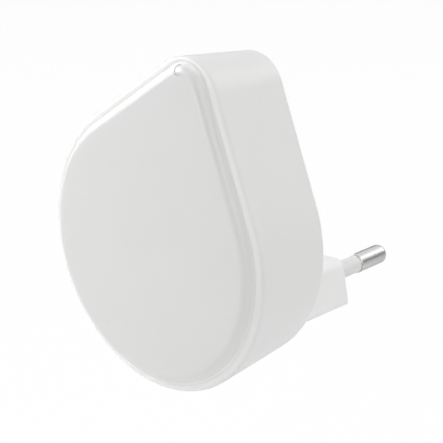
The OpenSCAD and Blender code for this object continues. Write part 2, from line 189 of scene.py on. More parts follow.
# %% Rings of the drop
Ring = namedtuple("Ring", "big tip depth")
RING_POINTS = 240
TIP_FROM = 26 * MM  # above this height a point belongs to the tip's arc


def tip_height(big, tip):
    """Height of the tip's centre above the centre of the round part."""
    return (big - tip) / math.sin(SIDE_ANGLE)


def first_ring(name, ring):
    """A new piece with one closed drop outline."""
    put_down()
    bpy.ops.mesh.primitive_circle_add(
        vertices=RING_POINTS, radius=ring.big, fill_type="NOTHING", location=(0, ring.depth, 0),
        rotation=(math.radians(90), 0, 0))
    piece = bpy.context.object
    piece.name = name
    fix_place(piece)
    open_up(piece)
    pick(piece, "EDGE", lambda edge, middle: middle.z > ring.big * math.sin(SIDE_ANGLE))
    bpy.ops.mesh.split()
    shrink = ring.tip / ring.big
    bpy.ops.transform.resize(value=(shrink, 1, shrink), center_override=(0, ring.depth, 0))
    bpy.ops.transform.translate(value=(0, 0, tip_height(ring.big, ring.tip)))
    for side in (-1, 1):
        pick(piece, "VERT", lambda vertex, place: len(vertex.link_edges) == 1 and place.x * side > 0)
        bpy.ops.mesh.edge_face_add()
    bpy.ops.mesh.select_all(action="SELECT")
    return piece


def next_ring(piece, last, ring):
    """Extrude the selected ring and give the new one its depth and its two radii."""
    bpy.ops.mesh.extrude_region_move(TRANSFORM_OT_translate={"value": (0, ring.depth - last.depth, 0)})
    mesh = bmesh.from_edit_mesh(piece.data)
    fresh = [vertex.index for vertex in mesh.verts if vertex.select]
    for is_tip in (False, True):
        chosen = set(fresh)
        pick(piece, "VERT", lambda vertex, place: vertex.index in chosen and (place.z > TIP_FROM) == is_tip)
        factor = ring.tip / last.tip if is_tip else ring.big / last.big
        centre = (0, ring.depth, tip_height(last.big, last.tip) if is_tip else 0)
        bpy.ops.transform.resize(value=(factor, 1, factor), center_override=centre)
        if is_tip:
            rise = tip_height(ring.big, ring.tip) - tip_height(last.big, last.tip)
            bpy.ops.transform.translate(value=(0, 0, rise))
    chosen = set(fresh)
    pick(piece, "VERT", lambda vertex, place: vertex.index in chosen)


def ringed(name, rings):
    """A closed piece through all the rings, with a flat face at either end."""
    piece = first_ring(name, rings[0])
    for last, ring in zip(rings, rings[1:]):
        next_ring(piece, last, ring)
    bpy.ops.mesh.edge_face_add()
    pick(piece, "EDGE", lambda edge, middle: edge.is_boundary)
    bpy.ops.mesh.edge_face_add()
    bpy.ops.mesh.select_all(action="SELECT")
    bpy.ops.mesh.normals_make_consistent(inside=False)
    put_down()
    print(name, "made of", len(rings), "rings,", len(piece.data.polygons), "faces")
    return piece


# %% [markdown]
# ## The housing
# The housing is a moulded cup. Its side wall leans in by the mould's draft towards the wall socket, the front rim
# is rounded, and the rear edge has a smaller rounding. Inside the rim is the opening for the panel, then the
# ledge that carries it, the cavity and its floor. One long chain of rings makes all of it, from the middle of the
# rear face around the outside, over the rim and down to the floor, so that the wall closes by itself.

# %% Side profile of the housing
RIM_STEPS = 10
REAR_STEPS = 6
EDGE_ROUND = 0.08 * MM  # softened inner edge of the rim
EDGE_STEPS = 3
HOLD = 0.25 * MM        # distance of a holding ring from an edge


def arc(steps, start, end):
    """Angles of an arc's points, both ends included."""
    return [start + (end - start) * k / steps for k in range(steps + 1)]


rim_centre = (-RIM_ROUND, DEPTH - RIM_ROUND)
rim_foot = (rim_centre[0] + RIM_ROUND * math.cos(DRAFT), rim_centre[1] - RIM_ROUND * math.sin(DRAFT))


def wall_line(height):
    """Offset of the outer wall at a height."""
    return rim_foot[0] + (height - rim_foot[1]) * math.tan(DRAFT)


def housing_ring(offset, height):
    """Ring parallel to the body outline."""
    return Ring(BODY + offset, TIP + offset, level(height))


def rim_ring(offset, height):
    """Ring on the rim: its tip runs over from the body outline to the opening, where the rim is narrowest."""
    return Ring(BODY + offset, TIP + (TIP - OPENING_TIP) * min(offset, 0) / RIM, level(height))


rear_centre = (wall_line(REAR_ROUND) - REAR_ROUND / math.cos(DRAFT), REAR_ROUND)
seat_level = DEPTH - PANEL_THICKNESS
floor_offset = wall_line(BACK_WALL) - WALL
outer_rings = [housing_ring(rear_centre[0] - HOLD, 0)]
outer_rings += [housing_ring(rear_centre[0] + REAR_ROUND * math.cos(a), REAR_ROUND + REAR_ROUND * math.sin(a))
                for a in arc(REAR_STEPS, math.radians(-90), -DRAFT)]
outer_rings += [rim_ring(rim_centre[0] + RIM_ROUND * math.cos(a), rim_centre[1] + RIM_ROUND * math.sin(a))
                for a in arc(RIM_STEPS, -DRAFT, math.radians(90))]
inner_rings = [rim_ring(-RIM + EDGE_ROUND * (1 - math.sin(a)), DEPTH - EDGE_ROUND * (1 - math.cos(a)))
               for a in arc(EDGE_STEPS, 0, math.radians(90))]
inner_rings += [rim_ring(-RIM, seat_level), housing_ring(-RIM - SEAT, seat_level),
                housing_ring(floor_offset, BACK_WALL), housing_ring(floor_offset - HOLD, BACK_WALL)]
housing = ringed("drop_housing", outer_rings + inner_rings)

# %% [markdown]
# ## Inside the housing
# Five hollow screw bosses rise from the floor, three for the circuit board and two for the plug's flange, and
# short ribs stand along the wall under the panel. They are hidden in use, but the housing's own model has them.
# The rear wall gets the hole that the plug block passes through.

# %% Section of the plug block
PLUG_WIDTH = 29.8 * MM
PLUG_HEIGHT = 9.5 * MM
END_LEAN = math.radians(8)
TOP_CORNER = 1.8 * MM
BOTTOM_CORNER = 1.0 * MM
LEAST_CORNER = 0.4 * MM
CORNER_STEPS = 8


def plug_bar(name, near, far, grow=0.0):
    """Bar with the plug's section between two places along Y: ends lean, upper corners rounder than lower."""
    half_width = PLUG_WIDTH / 2 + grow / math.cos(END_LEAN)
    half_height = PLUG_HEIGHT / 2 + grow
    piece = slab(name, (-half_width, near, -half_height), (half_width, far, half_height))
    open_up(piece)
    for side in (-1, 1):
        for end in (-1, 1):
            pick(piece, "VERT", lambda vertex, place: place.x * side > 0 and place.z * end > 0)
            bpy.ops.transform.translate(value=(-side * end * half_height * math.tan(END_LEAN), 0, 0))
    for end, corner in ((1, TOP_CORNER), (-1, BOTTOM_CORNER)):
        pick(piece, "EDGE", lambda edge, middle: middle.z * end > half_height / 2
             and abs(middle.x) > half_width / 2 and abs(edge.verts[0].co.y - edge.verts[1].co.y) > MM)
        radius = max(corner + grow, LEAST_CORNER)
        bpy.ops.mesh.bevel(offset=radius * math.tan((math.pi / 2 - end * END_LEAN) / 2), segments=CORNER_STEPS,
                           profile=0.5, affect="EDGES", offset_type="OFFSET", clamp_overlap=False)
    put_down()
    return piece


def lean_and_lift(piece):
    """From the upright drop to its place on the plug."""
    take(piece)
    piece.rotation_euler = (0, DROP_LEAN, 0)
    piece.location = (0, 0, DROP_LIFT)
    fix_place(piece)


def around(piece, count, step, start):
    """Copies of a piece turned about the drop's centre, joined into one."""
    copies = []
    for k in range(count):
        take(piece)
        bpy.ops.object.duplicate()
        copy = bpy.context.object
        copy.rotation_euler = (0, -(start + k * step), 0)
        fix_place(copy)
        copies.append(copy)
    bpy.data.objects.remove(piece, do_unlink=True)
    put_down()
    for copy in copies:
        copy.select_set(True)
    bpy.context.view_layer.objects.active = copies[0]
    bpy.ops.object.join()
    return copies[0]


print("plug section: width at mid height", PLUG_WIDTH / MM, "mm, height", PLUG_HEIGHT / MM, "mm")

# %% Bosses, ribs, snap slots and the hole for the plug
BOARD_LEVEL = 9.5 * MM
BOARD_RADIUS = 23.06 * MM
FLANGE_LEVEL = 5.0 * MM
FLANGE_THICKNESS = 1.6 * MM
FLANGE_SCREW = (12.6 * MM, 8.45 * MM)
BOSS_RADIUS = 2.4 * MM
SCREW_HOLE = 1.2 * MM
WELD = 0.4 * MM  # how far a welded feature reaches into its carrier
PLUG_CLEARANCE = 0.25 * MM
TAB_COUNT = 5
TAB_STEP = math.radians(44)
TAB_START = math.radians(-90) - (TAB_COUNT - 1) / 2 * TAB_STEP
TAB_OUTER = 24.87 * MM
TAB_LENGTH = 4.2 * MM
TAB_WIDTH = 5.0 * MM
TAB_THICKNESS = 1.0 * MM
BARB = 0.7 * MM
SLOT_TOP = 1.8 * MM   # from the end of a tab up to the top of its slot
SLOT_FOOT = 0.4 * MM  # from the end of a tab down to the foot of its slot
RIB_WIDTH = 1.2 * MM
RIB_REACH = 2.24 * MM
RIB_FOOT = 2 * MM     # how far the ribs reach down past the rear face of the board
SCREW_DEPTH = 4 * MM

rib = slab("rib", (BODY - WALL - RIB_REACH, level(seat_level + WELD), -RIB_WIDTH / 2),
           (BODY - WALL + WELD, level(BOARD_LEVEL - RIB_FOOT), RIB_WIDTH / 2))
work(housing, around(rib, TAB_COUNT, TAB_STEP, TAB_START + TAB_STEP / 2), "UNION")
slot = slab("snap_slot", (TAB_OUTER - WELD, level(seat_level - TAB_LENGTH + SLOT_TOP), -TAB_WIDTH / 2 - PANEL_GAP),
            (TAB_OUTER + BARB + WELD, level(seat_level - TAB_LENGTH - SLOT_FOOT), TAB_WIDTH / 2 + PANEL_GAP))
work(housing, around(slot, TAB_COUNT, TAB_STEP, TAB_START), "DIFFERENCE")
lean_and_lift(housing)

boss_places = [(x * BOARD_RADIUS, DROP_LIFT + y * BOARD_RADIUS, BOARD_LEVEL)
               for x, y in ((-0.8, 0.13), (0.8, 0.13), (0.287, 0.925))]
boss_places += [(side * FLANGE_SCREW[0], FLANGE_SCREW[1], FLANGE_LEVEL) for side in (-1, 1)]
for x, z, top in boss_places:
    work(housing, rod("boss", BOSS_RADIUS, (x, level(top), z), (x, level(BACK_WALL - WELD), z)), "UNION")
    work(housing, rod("screw_hole", SCREW_HOLE, (x, level(top + MM), z), (x, level(top - SCREW_DEPTH), z)),
         "DIFFERENCE")
work(housing, plug_bar("plug_hole", level(BACK_WALL + MM), level(-MM), PLUG_CLEARANCE), "DIFFERENCE")
print("housing:", len(housing.data.vertices), "vertices after the bosses, ribs and holes")

# %% [markdown]
# ## The light panel
# The panel is the opal cover of the lamps. It is a shallow cap that sits in the rim with a narrow seam and stands
# out in front of it, with a well-rounded front edge, so that from the left the edge of the panel hides the rim. Its
# rings start in the recess at the back, go down the border, up the short side wall and round the edge to the flat
# front. A lip at the foot of the rounded edge nearly closes the gap level with the crest of the rim, and a small
# hollow leads into it, so the seam is a soft line and not a black slot. Five snap tabs with small barbs hold the
# panel, and a round hole in its edge lets daylight reach the sensor.

# %% Rings, tabs and sensor hole of the panel
PANEL_ROUND = 2.1 * MM
PANEL_BORDER = 2.6 * MM
ROUND_STEPS = 14
FOOT_STEPS = 5
LIP = 0.295 * MM       # reach of the lip in the gap
FOOT_ROUND = 0.5 * MM  # hollow between the rounded edge and the lip
GUIDE_RADIUS = 0.82 * MM
GUIDE_HOLE = 0.9 * MM
GUIDE_EDGE = 0.3 * MM  # from the panel's outline to the hole's edge
GUIDE_TURN = math.radians(28)
BARB_TOP = 1.4 * MM    # from the end of a tab up to the top of its barb

panel_front = DEPTH + PANEL_RISE
panel_radius = BODY - RIM - PANEL_GAP
panel_tip = OPENING_TIP - PANEL_GAP


def panel_rings(sink=0.0):
    """Rings of the panel from the recess over the rounded edge to the front, all lowered by the same amount."""
    profile = [(-PANEL_BORDER - HOLD, seat_level + PANEL_RISE), (-PANEL_BORDER, seat_level + PANEL_RISE),
               (-PANEL_BORDER, seat_level), (LIP, seat_level)]
    meet = math.asin((FOOT_ROUND + PANEL_ROUND - PANEL_RISE) / (FOOT_ROUND + PANEL_ROUND))
    foot_centre = (PANEL_ROUND + FOOT_ROUND) * math.cos(meet) - PANEL_ROUND
    profile += [(foot_centre - FOOT_ROUND * math.cos(a), DEPTH + FOOT_ROUND * (1 - math.sin(a)))
                for a in arc(FOOT_STEPS, math.acos((foot_centre - LIP) / FOOT_ROUND), meet)]
    profile += [(PANEL_ROUND * (math.cos(a) - 1), panel_front - PANEL_ROUND * (1 - math.sin(a)))
                for a in arc(ROUND_STEPS, meet, math.pi / 2)[1:]]
    profile += [(-PANEL_ROUND - HOLD, panel_front)]
    return [Ring(panel_radius + offset, panel_tip + offset, level(height - sink)) for offset, height in profile]


panel = ringed("panel_cover", panel_rings())
tab = slab("snap_tab", (TAB_OUTER - TAB_THICKNESS, level(seat_level + WELD), -TAB_WIDTH / 2),
           (TAB_OUTER, level(seat_level - TAB_LENGTH), TAB_WIDTH / 2))
barb = slab("barb", (TAB_OUTER - WELD, level(seat_level - TAB_LENGTH + BARB_TOP), -TAB_WIDTH / 2),
            (TAB_OUTER + BARB, level(seat_level - TAB_LENGTH), TAB_WIDTH / 2))
open_up(barb)
pick(barb, "VERT", lambda vertex, place: place.x > TAB_OUTER and place.y > level(seat_level - TAB_LENGTH / 2 - MM))
bpy.ops.transform.translate(value=(-BARB, 0, 0))
put_down()
work(tab, barb, "UNION")
work(panel, around(tab, TAB_COUNT, TAB_STEP, TAB_START), "UNION")

guide_reach = panel_tip - GUIDE_EDGE - GUIDE_HOLE
guide_x = -guide_reach * math.sin(GUIDE_TURN)
guide_z = tip_height(panel_radius, panel_tip) + guide_reach * math.cos(GUIDE_TURN)
work(panel, rod("sensor_hole", GUIDE_HOLE, (guide_x, level(panel_front + MM), guide_z),
                (guide_x, level(seat_level - MM), guide_z)), "DIFFERENCE")
lean_and_lift(panel)
print("panel: front at", round(panel_front / MM, 2), "mm, sensor hole at", round(guide_x / MM, 2),
      round(guide_z / MM, 2))

# %% [markdown]
# ## The light guide
# A small clear rod leads daylight from the panel's edge to the sensor on the board. Only its end shows. It lies a
# tenth of a millimetre below the rounded edge and follows it, so the rod is cut with the panel's own shape, lowered
# by that amount. Below the panel the guide is cranked, because the sensor sits further in than the hole.

# %% Light guide
SENSOR_X = guide_x + 0.5 * MM
SENSOR_Z = 31.99 * MM
GUIDE_SINK = 0.1 * MM
GUIDE_FOOT = 12.65 * MM
GUIDE_ARM = 1.0 * MM
GUIDE_BEVEL = 0.08 * MM
ARM_STEP = 0.1 * MM  # the arm starts this much inside the foot's outline

guide = rod("guide_rod", GUIDE_RADIUS, (guide_x, level(panel_front), guide_z),
            (guide_x, level(seat_level), guide_z))
work(guide, ringed("lens_form", panel_rings(GUIDE_SINK)), "INTERSECT")
open_up(guide)
pick(guide, "EDGE", lambda edge, middle: middle.y < level(seat_level + MM) and len(edge.link_faces) == 2
     and edge.calc_face_angle() > math.radians(40))
bpy.ops.mesh.bevel(offset=GUIDE_BEVEL, segments=2, profile=0.5, affect="EDGES", clamp_overlap=True)
put_down()
work(guide, rod("guide_neck", GUIDE_RADIUS, (guide_x, level(seat_level), guide_z),
                (guide_x, level(seat_level - GUIDE_ARM), guide_z)), "UNION")
work(guide, rod("guide_foot", GUIDE_RADIUS, (SENSOR_X, level(seat_level), SENSOR_Z),
                (SENSOR_X, level(GUIDE_FOOT), SENSOR_Z)), "UNION")
work(guide, slab("guide_arm", (guide_x, level(seat_level), SENSOR_Z - GUIDE_RADIUS + ARM_STEP),
                 (guide_x + GUIDE_RADIUS, level(seat_level - GUIDE_ARM), guide_z)), "UNION")
lean_and_lift(guide)
print("light guide:", len(guide.data.polygons), "faces")

# %% [markdown]
# ## The plug block
# The block is one moulding: a hollow bar with rounded corners and slightly leaning ends that reaches back from
# the housing, and a flange that is screwed down inside it. The rear end is closed by a thick wall with two
# stepped holes for the pins and their sleeves.

# %% Plug block
PLUG_WALL = 1.7 * MM
PLUG_END_WALL = 3.4 * MM
END_ROUND = 0.35 * MM
FLANGE_RADIUS = 23.5 * MM
FLANGE_HALF = 17 * MM
SEAT_DEPTH = 0.8 * MM
PIN_SPACING = 18.6 * MM
PIN_TOE = math.radians(1.6)
SHANK = 1.2 * MM
SLEEVE = 1.8 * MM
SHANK_CLEARANCE = 0.25 * MM
COLLAR = 1.9 * MM

flange_top = FLANGE_LEVEL + FLANGE_THICKNESS
plug = plug_bar("plug_body", level(flange_top), 0)
open_up(plug)
pick(plug, "FACE", lambda face, middle: face.normal.y > 0.9)
bpy.ops.mesh.region_to_loop()
bpy.ops.mesh.bevel(offset=END_ROUND, segments=4, profile=0.5, affect="EDGES", clamp_overlap=False)
put_down()
flange = rod("flange", FLANGE_RADIUS, (0, level(flange_top), DROP_LIFT), (0, level(FLANGE_LEVEL), DROP_LIFT), 96)
work(flange, slab("flange_edge", (-FLANGE_HALF, level(flange_top) - MM, -FLANGE_RADIUS),
                  (FLANGE_HALF, level(FLANGE_LEVEL) + MM, FLANGE_SCREW[1] + BOSS_RADIUS)), "INTERSECT")
work(plug, flange, "UNION")
work(plug, plug_bar("plug_hollow", level(flange_top) - MM, -PLUG_END_WALL, -PLUG_WALL), "DIFFERENCE")


def pin_place(side, along):
    """A place on a pin's axis, which leans towards the other pin."""
    return (side * (PIN_SPACING / 2 - along * math.sin(PIN_TOE)), along * math.cos(PIN_TOE), 0)


for side in (-1, 1):
    work(plug, rod("shank_hole", SHANK + SHANK_CLEARANCE, pin_place(side, -PLUG_END_WALL - MM),
                   pin_place(side, MM)), "DIFFERENCE")
    work(plug, rod("sleeve_seat", SLEEVE + SHANK_CLEARANCE, pin_place(side, -SEAT_DEPTH),
                   pin_place(side, MM)), "DIFFERENCE")
    x, z = side * FLANGE_SCREW[0], FLANGE_SCREW[1]
    work(plug, rod("flange_hole", SCREW_HOLE, (x, level(flange_top) - MM, z), (x, level(FLANGE_LEVEL) + MM, z)),
         "DIFFERENCE")
print("plug block:", len(plug.data.polygons), "faces")

# %% [markdown]
# ## Pins and sleeves
# Each pin is a turned part: a bare end with a rounded nose, a thinner shank inside the sleeve, and a collar and
# a soldering tail in the block. On a lathe it is one profile turned about the axis, and here the same is done
# with rings: a circle is extruded from station to station and resized to each radius. The pins lean a little
# towards each other, so that they spring against the contacts of the socket.

# %% Turned pins and moulded sleeves
Station = namedtuple("Station", "along radius")
TURNED_SIDES = 64
PIN = 2.0 * MM
PIN_LENGTH = 19 * MM
SLEEVE_LENGTH = 10 * MM
PIN_NOSE = 1.5 * MM
NOSE_STEPS = 10
COLLAR_LEVEL = -3.25 * MM
COLLAR_THICKNESS = 1 * MM
TAIL = 0.75 * MM
TAIL_END = -7.9 * MM
CHAMFER = 0.12 * MM


def turned(name, stations, side, closed=True):
    """A piece turned about a pin's axis through all its stations, closed by end faces or on itself."""
    first = stations[0]
    put_down()
    bpy.ops.mesh.primitive_circle_add(vertices=TURNED_SIDES, radius=first.radius, fill_type="NOTHING",
                                      location=(0, first.along, 0), rotation=(math.radians(90), 0, 0))
    piece = bpy.context.object
    piece.name = name
    fix_place(piece)
    open_up(piece)
    bpy.ops.mesh.select_all(action="SELECT")
    for last, station in zip(stations, stations[1:]):
        bpy.ops.mesh.extrude_region_move(TRANSFORM_OT_translate={"value": (0, station.along - last.along, 0)})
        factor = station.radius / last.radius
        bpy.ops.transform.resize(value=(factor, 1, factor), center_override=(0, station.along, 0))
    if closed:
        bpy.ops.mesh.edge_face_add()
        pick(piece, "EDGE", lambda edge, middle: edge.is_boundary)
        bpy.ops.mesh.edge_face_add()
    else:
        pick(piece, "EDGE", lambda edge, middle: edge.is_boundary)
        bpy.ops.mesh.bridge_edge_loops()
    bpy.ops.mesh.select_all(action="SELECT")
    bpy.ops.mesh.normals_make_consistent(inside=False)
    put_down()
    piece.rotation_euler = (0, 0, side * PIN_TOE)
    piece.location = (side * PIN_SPACING / 2, 0, 0)
    fix_place(piece)
    return piece


nose = [Station(PIN_LENGTH - PIN_NOSE * (1 - math.sin(a)), PIN - PIN_NOSE * (1 - math.cos(a)))
        for a in arc(NOSE_STEPS, 0, math.pi / 2)]
pin_stations = [Station(TAIL_END, TAIL - CHAMFER), Station(TAIL_END + CHAMFER, TAIL),
                Station(COLLAR_LEVEL - COLLAR_THICKNESS, TAIL), Station(COLLAR_LEVEL - COLLAR_THICKNESS, COLLAR),
                Station(COLLAR_LEVEL, COLLAR), Station(COLLAR_LEVEL, SHANK), Station(SLEEVE_LENGTH, SHANK),
                Station(SLEEVE_LENGTH, PIN - CHAMFER), Station(SLEEVE_LENGTH + CHAMFER, PIN)] + nose
sleeve_stations = [Station(-SEAT_DEPTH, SHANK + SHANK_CLEARANCE), Station(-SEAT_DEPTH, SLEEVE),
                   Station(SLEEVE_LENGTH - CHAMFER, SLEEVE), Station(SLEEVE_LENGTH - 0.3 * CHAMFER,
                                                                     SLEEVE - 0.3 * CHAMFER),
                   Station(SLEEVE_LENGTH, SLEEVE - CHAMFER), Station(SLEEVE_LENGTH, SHANK + SHANK_CLEARANCE)]
pins = {side: turned("pin_metal_" + word, pin_stations, side) for side, word in ((-1, "left"), (1, "right"))}
sleeves = {side: turned("sleeve_tube_" + word, sleeve_stations, side, closed=False)
           for side, word in ((-1, "left"), (1, "right"))}
print("pins:", [len(piece.data.polygons) for piece in pins.values()], "faces")

# %% [markdown]
# ## Smooth surfaces
# Curved faces are shaded smooth, and edges sharper than a set angle stay sharp. Large flat faces should pull the
# normals of the small faces beside them, so the weighted-normal modifier comes last.

# %% Smooth shading
SHARP_FROM = math.radians(32)


def smooth(piece):
    """Smooth shading with sharp edges kept, and normals weighted by face area."""
    take(piece)
    bpy.ops.object.shade_smooth_by_angle(angle=SHARP_FROM)
    step = piece.modifiers.new("normals", "WEIGHTED_NORMAL")
    step.keep_sharp = True
    bpy.ops.object.modifier_apply(modifier=step.name)


for piece in (housing, panel, guide, plug, *pins.values(), *sleeves.values()):
    smooth(piece)
    print(piece.name, "box", [round(v / MM, 2) for v in piece.dimensions])

# %% [markdown]
# ## Writing shaders as sums
# A finish is a small network of nodes. Written link by link it is hard to read, so one small class wraps the
# output of a node. Python's operators on it add Math nodes, and one method adds any other node: its settings
# come first, then its sockets. A colour never goes through a Math node, because that would turn it grey.

# %% One class for shader maths
class Signal:
    """The output of a shader node, on which Python's operators work."""

    def __init__(self, tree, socket=None):
        self.tree = tree
        self.socket = socket

    def add(self, kind, settings=None, sockets=None, output=0):
        """Add a node: its settings, then the values or links of its sockets. A ramp's stops are a setting."""
        node = self.tree.nodes.new(kind)
        for name, value in (settings or {}).items():
            if name == "stops":
                for place, (position, colour) in enumerate(value):
                    stop = node.color_ramp.elements[place] if place < 2 else node.color_ramp.elements.new(position)
                    stop.position = position
                    stop.color = (*colour, 1)
            else:
                setattr(node, name, value)
        for name, value in (sockets or {}).items():
            if isinstance(value, Signal):
                self.tree.links.new(value.socket, node.inputs[name])
            else:
                node.inputs[name].default_value = value
        return Signal(self.tree, node.outputs[output] if node.outputs else None)

    def math(self, operation, *values):
        """A Math node on these values."""
        return self.add("ShaderNodeMath", {"operation": operation}, dict(enumerate(values)))

    def __add__(self, other):
        return self.math("ADD", self, other)

    def __sub__(self, other):
        return self.math("SUBTRACT", self, other)

    def __rsub__(self, other):
        return self.math("SUBTRACT", other, self)

    def __mul__(self, other):
        return self.math("MULTIPLY", self, other)

    def __gt__(self, other):
        return self.math("GREATER_THAN", self, other)

    def __lt__(self, other):
        return self.math("LESS_THAN", self, other)

    __radd__ = __add__
    __rmul__ = __mul__

    def blend(self, low, high):
        """A colour between two, with this signal as the factor."""
        return self.add("ShaderNodeMix", {"data_type": "RGBA"}, {0: self, 6: colour_of(low), 7: colour_of(high)}, 2)


def colour_of(value):
    """A colour as a node wants it: four numbers, or a signal as it is."""
    return value if isinstance(value, Signal) else (*value, 1)


def begin(name):
    """A new material without nodes, and a signal to write its network with."""
    material = bpy.data.materials.new(name)
    material.use_nodes = True
    material.node_tree.nodes.clear()
    return material, Signal(material.node_tree)


def end(sheet, **sockets):
    """Close a material with the Principled shader. Names of sockets are written with _ for a space."""
    shader = sheet.add("ShaderNodeBsdfPrincipled", sockets={name.replace("_", " "): value
                                                            for name, value in sockets.items()})
    sheet.add("ShaderNodeOutputMaterial", sockets={"Surface": shader})


def here(sheet, stretch=(1, 1, 1)):
    """The place on the piece in metres, stretched along its axes."""
    place = sheet.add("ShaderNodeTexCoord", output=3)
    return sheet.add("ShaderNodeMapping", sockets={"Vector": place, "Scale": stretch})


def noise(sheet, place, scale, detail=2.0, roughness=0.5):
    """A cloud pattern between 0 and 1."""
    return sheet.add("ShaderNodeTexNoise", sockets={"Vector": place, "Scale": scale, "Detail": detail,
                                                    "Roughness": roughness})


def relief(sheet, height, strength, distance):
    """A normal from a height pattern."""
    return sheet.add("ShaderNodeBump", sockets={"Height": height, "Strength": strength, "Distance": distance})


print("shader maths ready")

# %% [markdown]
# ## White moulded plastic
# The housing, the panel, the plug block and the sleeves are white injection-moulded plastic with a satin sheen.
# Such a surface is never one flat colour: the pigment clouds by about a per cent, the gloss follows the flow of
# the melt, and the mould leaves a grain of a few hundredths of a millimetre. Each piece gets the same network
# with its own numbers, because the panel is a little more opal and the sleeves are duller. Opal plastic also
# passes light along, so the seam between panel and rim looks filled with light. A band of paler colour on either
# side of the seam is painted light for that: a painted highlight on the crest of the rim and painted light that
# lifts the shade in the seam.

# %% White plastics
PIGMENT_SCALE = 70.0  # noise features per metre: clouds of a centimetre
FLOW_SCALE = 190.0
GRAIN_SCALE = 7000.0
GRAIN_DEPTH = 0.01 * MM


def moulded(name, colour, gloss, grain, cloud=0.02, spread=0.06, ior=1.46, painted_seam_light=None):
    """Satin plastic: clouded pigment, gloss that follows the flow, fine mould grain, painted light in a paler band
    towards a seam.
    """
    material, sheet = begin(name)
    place = here(sheet)
    pigment = noise(sheet, place, PIGMENT_SCALE, 3.0)
    flow = noise(sheet, place, FLOW_SCALE, 2.0)
    skin = noise(sheet, place, GRAIN_SCALE, 3.0)
    pale = tuple(min(channel * (1 + cloud), 1) for channel in colour)
    deep = tuple(channel * (1 - cloud) for channel in colour)
    tint = pigment.blend(deep, pale)
    # Painted light: the colour turns paler towards the seam, a painted highlight on the rim's crest and painted
    # light in the seam's shade.
    if painted_seam_light:
        start, full, bright = painted_seam_light
        along = Signal(sheet.tree, sheet.add("ShaderNodeSeparateXYZ", sockets={
            "Vector": place}).socket.node.outputs["Y"])
        seam_light = sheet.add("ShaderNodeMapRange", {"interpolation_type": "SMOOTHSTEP"}, {
            "Value": along, "From Min": level(start), "From Max": level(full)})
        tint = seam_light.blend(tint, bright)
    end(sheet, Base_Color=tint, Roughness=flow * spread + (gloss - spread / 2), IOR=ior,
        Normal=relief(sheet, skin, grain, GRAIN_DEPTH))
    return material


# Painted light at the seam, for the rim and for the panel's foot: where it starts, where it is full, and its colour.
RIM_PAINTED_LIGHT = (DEPTH - 0.55 * MM, DEPTH - 0.05 * MM, (0.93, 0.93, 0.92))  # starts, full, colour
FOOT_PAINTED_LIGHT = (DEPTH + 0.45 * MM, DEPTH + 0.05 * MM, (0.87, 0.87, 0.86))
finishes = {
    "housing_plastic": moulded("housing_plastic", (0.79, 0.79, 0.785), 0.42, 0.35, painted_seam_light=RIM_PAINTED_LIGHT),
    "panel_plastic": moulded("panel_plastic", (0.785, 0.787, 0.78), 0.36, 0.2, cloud=0.012, painted_seam_light=FOOT_PAINTED_LIGHT),
    "plug_plastic": moulded("plug_plastic", (0.855, 0.855, 0.85), 0.45, 0.4),
    "sleeve_plastic": moulded("sleeve_plastic", (0.74, 0.74, 0.735), 0.55, 0.5),
    "reflector_plastic": moulded("reflector_plastic", (0.88, 0.88, 0.87), 0.5, 0.5),
}
print("white plastics:", list(finishes))

# %% [markdown]
# ## Nickel-plated pins
# The bare pin ends are turned brass with a nickel skin. Their colour carries darker streaks along them: painted
# reflections of dark surroundings, laid out like the fine lines that use draws where the pins slide in the
# socket's contacts. They are a noise pattern that is stretched along Y: the darker and the rougher go together.

# %% Nickel
# Noise levels between which the painted reflection streaks, and on the screws the wear, fade out.
WEAR_AND_REFLECTION_LEVELS = (0.38, 0.62)  # noise levels between which a mark fades out
LENGTHWISE = (1, 0.03, 1)


def plated(name, bright, dark_wear_and_reflection, gloss, spread, stretch):
    """Plated metal with wear and painted reflection streaks in its colour, drawn out along an axis where the pattern
    is stretched.
    """
    material, sheet = begin(name)
    fine = noise(sheet, here(sheet, stretch), 900.0, 3.0, 0.6)
    wide = noise(sheet, here(sheet, stretch), 330.0, 1.0)
    # Painted reflection: darker and rougher streaks in the colour where the noise is low.
    wear_and_painted_reflection = sheet.add("ShaderNodeMapRange", sockets={"Value": wide * 0.7 + fine * 0.3, "From Min": WEAR_AND_REFLECTION_LEVELS[0],
                                                     "From Max": WEAR_AND_REFLECTION_LEVELS[1]})
    end(sheet, Base_Color=wear_and_painted_reflection.blend(dark_wear_and_reflection, bright), Metallic=1.0, Roughness=gloss + spread * (1 - wear_and_painted_reflection),
        Normal=relief(sheet, fine, 0.25, GRAIN_DEPTH))
    return material


# Painted reflections on the pins: dark streaks along Y in the nickel's colour.
finishes["pin_metal"] = plated("pin_metal", (0.62, 0.62, 0.615), (0.3, 0.3, 0.298), 0.26, 0.16, LENGTHWISE)
finishes["screw_steel"] = plated("screw_steel", (0.62, 0.62, 0.63), (0.45, 0.45, 0.44), 0.3, 0.15, (1, 1, 1))

# %% [markdown]
# ## Clear light guide
# The guide is clear plastic, but seen end on, through a window of less than two millimetres, it shows the white
# of what is behind it. A pale glossy surface gives that, and it exports well.

# %% Clear plastic
finishes["guide_plastic"] = moulded("guide_plastic", (0.8, 0.81, 0.81), 0.12, 0.1, cloud=0.03)
print("light guide dressed")

# %% [markdown]
# ## Finishes inside
# The parts on the board are hidden by the panel, but the model can be opened, so each has its own finish. A CAD
# node is one mesh with one material slot, so where a part has two materials, such as a black body with tinned
# leads, a mask from the place on the part divides them. A second mask lays paint on the body.

# %% Parts with a body and metal ends
TIN = (0.7, 0.7, 0.68)
COPPER = (0.72, 0.45, 0.3)
METAL_GLOSS = 0.28
FINE_GRAIN_SCALE = 5000.0
PART_CLOUD_SCALE = 900.0


